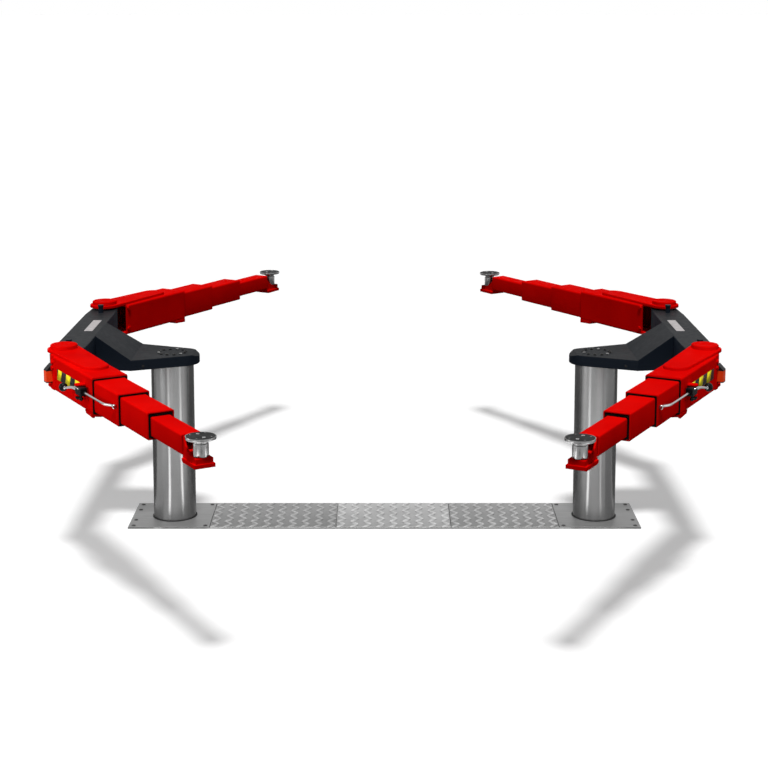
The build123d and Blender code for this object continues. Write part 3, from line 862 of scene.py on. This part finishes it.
def pad_spindle(arm):
    """The post under the pad: a spigot, a collar, a groove, the flange and the rim round the rubber."""
    low, high = arm.box("pad_post")
    pad_low, pad_high = arm.box("pad_cover")
    middle = (low + high) / 2
    rim = (pad_high[0] - pad_low[0]) / 2
    post, neck = post_radius, post_radius - 2.0
    seat, top = low[2] + spigot_length, high[2]
    rim_top = pad_high[2] - 0.9
    profile = [
        (spigot_radius, low[2]), (spigot_radius, seat), (post, seat), (post, top - 13.5), (neck, top - 12.5),
        (neck, top - 8), (post, top - 7), (post + 1.0, top - 3.6), (rim - 1.5, top - 3.0), (rim, top - 2.0),
        (rim, rim_top), (rim - 2.0, rim_top), (rim - 2.0, top), (1.0, top),
    ]
    return arm.placed(wrapped(softened(profile, 0.8, 3), 64).moved((middle[0], middle[1], 0)))


def stud(s, o, z, drop):
    """A black stud that hangs from the hub, with a six-sided nut near its foot."""
    shank = lathe([(3.2, z - drop), (3.6, z - drop + 1), (3.6, z)], 16)
    nut = slab(circle(6.6, 6), z - drop + 3, z - drop + 9, 0.8)
    return joined(shank, nut).moved((s, o + 6, 0))


def lever_black(arm):
    """The lever's black parts: the hub, its two studs and the ball."""
    low, high = arm.box("lock_lever")
    s, o, z = arm.local(joints[f"lever_{arm.name}_turn"]["pos_m"])
    corners = rectangle(s - hub_tail, s + hub_reach, -hub_half_height, hub_half_height)
    hub = slab(softened(corners, 6, 4, closed=True), o - hub_half_depth, o + hub_half_depth, 1.5)
    sphere = ball(knob_radius, (low[0] + knob_radius, high[1] - knob_radius, z - knob_drop))
    studs = [stud(s + reach, o, z, drop) for reach, drop in stud_stations]
    return joined(hub.on_side().moved((0, 0, z)), sphere, *studs)


def lever_bright(arm):
    """The lever's bright parts: the rod with its cap, the handle, a collar at the ball and a clip."""
    low, high = arm.box("lock_lever")
    s, o, z = arm.local(joints[f"lever_{arm.name}_turn"]["pos_m"])
    cap_o = arm.tube_half_width + cap_radius - 1.5
    end = high[0] - 2
    bend = (end - 38, o - 1.0, z)
    rod_path = [(s + 30, o, z), (s + 40, o, z), bend, (end - 16, cap_o, z), (end, cap_o, z)]
    rod = pipe(softened(rod_path, 12, 8), rod_radius)
    cap = bar((end - 4, cap_o, z), (end + 2, cap_o, z), cap_radius)
    knob_s, knob_o, knob_z = low[0] + knob_radius, high[1] - knob_radius, z - knob_drop
    handle_path = [(s - 12, o + 3, z), (s - 34, o + handle_rise, z + 1), (knob_s + 11, knob_o, knob_z)]
    handle_path = softened(handle_path, 12, 8)
    handle = pipe(handle_path, np.linspace(4.4, 3.4, len(handle_path)))
    collar = bar((knob_s + 10, knob_o, knob_z), (knob_s + 15, knob_o - 0.6, knob_z + 1), 4.6)
    clip = bar((s - 6, o + 10.5, z + 8), (s + 24, o + 10.5, z + 8), 2.2)
    return joined(rod, cap, handle, collar, clip)


for corner in CORNERS:
    arm = Arm(corner)
    tape_shape, stripe_faces = tape(arm)
    make_piece(f"hazard_tape_{corner}", tape_shape, f"arm_{corner}", "arm_red", black_film, yellow,
               pick=stripe_faces, smooth=False)
    for words in ("second", "third", "tip"):
        node = f"{words}_section"
        tube = section(arm, node)
        piece = make_piece(f"square_{words}_{corner}", tube, f"arm_{corner}_{words}", "arm_red", red)
        if words != "tip":
            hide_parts(f"{node}_{corner}")
    # Black frames at the section mouths: painted shade for the gaps there.
    for outside, inside, body in (("outer_section", "second_section", f"arm_{corner}"),
                                  ("second_section", "third_section", f"arm_{corner}_second"),
                                  ("third_section", "tip_section", f"arm_{corner}_third")):
        frame_shape = mouth_shade_frame(arm, inside, section_mouth(arm, outside))
        make_piece(f"mouth_frame_{inside}_{corner}", frame_shape, body, "arm_red", gap_painted_shade)
    make_piece(f"cheek_bolts_{corner}", cheek_bolts(arm), f"arm_{corner}", "arm_red", red)
    cover = make_piece(f"ribbed_pad_{corner}", pad_disc(arm), f"pad_{corner}", "pad_rubber", pad_rubber)
    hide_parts(f"pad_cover_{corner}")
    make_piece(f"pad_screws_{corner}", pad_screws(arm), f"pad_{corner}", "pad_chrome", bright)
    spindle = make_piece(f"pad_spindle_{corner}", pad_spindle(arm), f"pad_{corner}", "pad_chrome", zinc)
    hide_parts(f"pad_post_{corner}")
    lever = f"lever_{corner}"
    rod = make_piece(f"lever_rod_{corner}", arm.place(lever_bright(arm)), lever, "lever_chrome", bright)
    make_piece(f"lever_hub_{corner}", arm.place(lever_black(arm)), lever, "lever_chrome", gloss_black)
    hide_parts(f"lock_lever_{corner}")


# Studio

def stage_material(name, build):
    """A material whose surface the build function makes."""
    material = bpy.data.materials.new(name)
    material.use_nodes = True
    tree = material.node_tree
    tree.nodes.clear()
    output = tree.nodes.new("ShaderNodeOutputMaterial")
    tree.links.new(build(tree), output.inputs["Surface"])
    return material


def camera_or_mirror(tree):
    """1 for rays from the camera and for rays that glossy or clear surfaces send out, and 0 for the rest."""
    path = tree.nodes.new("ShaderNodeLightPath")
    total = path.outputs["Is Camera Ray"]
    for ray in ("Is Glossy Ray", "Is Transmission Ray"):
        add = tree.nodes.new("ShaderNodeMath")
        add.operation = "MAXIMUM"
        tree.links.new(total, add.inputs[0])
        tree.links.new(path.outputs[ray], add.inputs[1])
        total = add.outputs[0]
    return total


def white_floor(tree):
    """Pale diffuse floor, with a glow for the camera and mirrors alone that lifts open floor to white."""
    diffuse = tree.nodes.new("ShaderNodeBsdfDiffuse")
    diffuse.inputs["Color"].default_value = (floor_color, floor_color, floor_color, 1)
    glow = tree.nodes.new("ShaderNodeEmission")
    lift = tree.nodes.new("ShaderNodeMath")
    lift.operation = "MULTIPLY"
    tree.links.new(camera_or_mirror(tree), lift.inputs[0])
    lift.inputs[1].default_value = floor_lift
    tree.links.new(lift.outputs[0], glow.inputs["Strength"])
    both = tree.nodes.new("ShaderNodeAddShader")
    tree.links.new(diffuse.outputs[0], both.inputs[0])
    tree.links.new(glow.outputs[0], both.inputs[1])
    return both.outputs[0]


def card_glow(tone):
    """A card or wedge that mirrors show in an even tone: deep grey below 1, a bright streak above it."""
    def build(tree):
        """The card's plain glow."""
        glow = tree.nodes.new("ShaderNodeEmission")
        glow.inputs["Strength"].default_value = tone
        return glow.outputs[0]
    return build


def for_mirrors(sheet):
    """Only glossy surfaces see the sheet."""
    sheet.visible_camera = False
    sheet.visible_diffuse = False
    sheet.visible_shadow = False
    sheet.visible_transmission = False


def flat_sheet(name, corners, material):
    """A four-cornered sheet in metres, which belongs to the studio."""
    mesh = bpy.data.meshes.new(name)
    mesh.from_pydata([tuple(corner) for corner in corners], [], [(0, 1, 2, 3)])
    mesh.materials.append(material)
    sheet = bpy.data.objects.new(name, mesh)
    bpy.context.scene.collection.objects.link(sheet)
    return sheet


def lamp(name, kind, place, target, energy):
    """A lamp that faces its target."""
    data = bpy.data.lights.new(name, kind)
    data.energy = energy
    piece = bpy.data.objects.new(name, data)
    bpy.context.scene.collection.objects.link(piece)
    piece.location = place
    direction = np.asarray(target, float) - np.asarray(place, float)
    piece.rotation_mode = "QUATERNION"
    piece.rotation_quaternion = Vector(direction).to_track_quat("-Z", "Y")
    piece.visible_camera = False
    return piece


def panel(name, place, target, width, height, energy):
    """A soft rectangular lamp that the camera doesn't see."""
    piece = lamp(name, "AREA", place, target, energy)
    piece.data.shape = "RECTANGLE"
    piece.data.size, piece.data.size_y = width, height
    return piece


floor_color = 0.68
floor_lift = 0.38
floor_reach = 200.0
floor_level = -0.0005
world_light = 0.075
world_seen = 1.0
card_tone = 0.17
card_level = 0.0005
dusk_tone = 0.45
wedge_level = 0.0008
square = [(-1, -1), (1, -1), (1, 1), (-1, 1)]
floor_corners = [(x * floor_reach, y * floor_reach, floor_level) for x, y in square]
floor = flat_sheet("studio_floor", floor_corners, stage_material("Studio_floor", white_floor))
floor.visible_diffuse = False

world = bpy.data.worlds.new("Studio_world")
bpy.context.scene.world = world
world.use_nodes = True
world.node_tree.nodes.clear()
world_output = world.node_tree.nodes.new("ShaderNodeOutputWorld")
world_glow = world.node_tree.nodes.new("ShaderNodeBackground")
world_glow.inputs["Color"].default_value = (1, 1, 1, 1)
world_level = world.node_tree.nodes.new("ShaderNodeMapRange")
world_level.inputs["To Min"].default_value = world_light
world_level.inputs["To Max"].default_value = world_seen
world.node_tree.links.new(camera_or_mirror(world.node_tree), world_level.inputs["Value"])
world.node_tree.links.new(world_level.outputs[0], world_glow.inputs["Strength"])
world.node_tree.links.new(world_glow.outputs[0], world_output.inputs["Surface"])

overhead = lamp("Overhead", "SUN", place=(0.0, -1.35, 4.0), target=(0.0, 0.0, 0.0), energy=2.85)
overhead.data.angle = math.radians(8.5)
for word, energy in (("left", 5.6), ("right", 1.7)):
    side = SIDES[word]
    panel(f"Side_{word}", (side * 1.7, -1.0, 0.8), (side * 0.85, -0.6, 0.55), width=0.7, height=0.6,
          energy=energy)
wedge_near, wedge_far = 0.075, 2.7
# Wedges of floor that a plunger mirrors: name, side, degrees from straight ahead, spread and tone
wedges = [
    ("streak_outer_left", "left", -17.0, 0.085, 5.0),
    ("streak_inner_left", "left", 47.0, 0.085, 5.0),
    ("streak_inner_right", "right", -39.0, 0.085, 5.0),
    ("streak_outer_right", "right", 24.0, 0.07, 2.2),
    ("dusk_right", "right", 72.0, 0.42, dusk_tone),
]
for name, word, degrees, spread, tone in wedges:
    low, high = node_box(f"plunger_{word}")
    axis = np.array([(low[0] + high[0]) / 2 * MM, 0.0])
    turn = math.radians(degrees)
    ray = np.array([math.sin(turn), -math.cos(turn)])
    across = np.array([math.cos(turn), math.sin(turn)])
    ends = [(wedge_near, -1), (wedge_near, 1), (wedge_far, 1), (wedge_far, -1)]
    corners = [(*(axis + (ray + across * spread * hand) * reach), wedge_level) for reach, hand in ends]
    for_mirrors(flat_sheet(name, corners, stage_material(name, card_glow(tone))))

dark_card = stage_material("Dark_card", card_glow(card_tone))
card_half_width, card_back, card_foot, card_head = 1.3, 0.45, 0.2, 0.62
for word, side in SIDES.items():
    middle = side * 0.675
    upright = [(x, card_back, z) for x, z in rectangle(middle - card_half_width, middle + card_half_width,
                                                       card_foot, card_head)]
    flat = [(x, y, card_level) for x, y in rectangle(x0=side * 0.02, x1=side * 3.2, y0=0.08, y1=2.6)]
    for kind, corners in (("back", upright), ("floor", flat)):
        for_mirrors(flat_sheet(f"dark_card_{kind}_{word}", corners, dark_card))
front_card = [(x, y, card_level) for x, y in rectangle(x0=-0.45, x1=0.55, y0=-4.2, y1=-2.5)]
for_mirrors(flat_sheet("dark_card_front", front_card, dark_card))

frame_pixels = 768
camera_focus = 1623.3
camera_data = bpy.data.cameras.new("Camera")
camera_data.sensor_width = 36.0
camera_data.lens = camera_data.sensor_width * camera_focus / frame_pixels
camera_data.shift_y = -0.2
camera_data.clip_end = 500
camera = bpy.data.objects.new("Camera", camera_data)
camera.location = (-0.0013, -5.0591, 1.647)
camera.rotation_euler = (math.radians(90 - 8.047), 0, 0)
bpy.context.scene.collection.objects.link(camera)
bpy.context.scene.camera = camera
bpy.context.scene.view_settings.view_transform = "Standard"
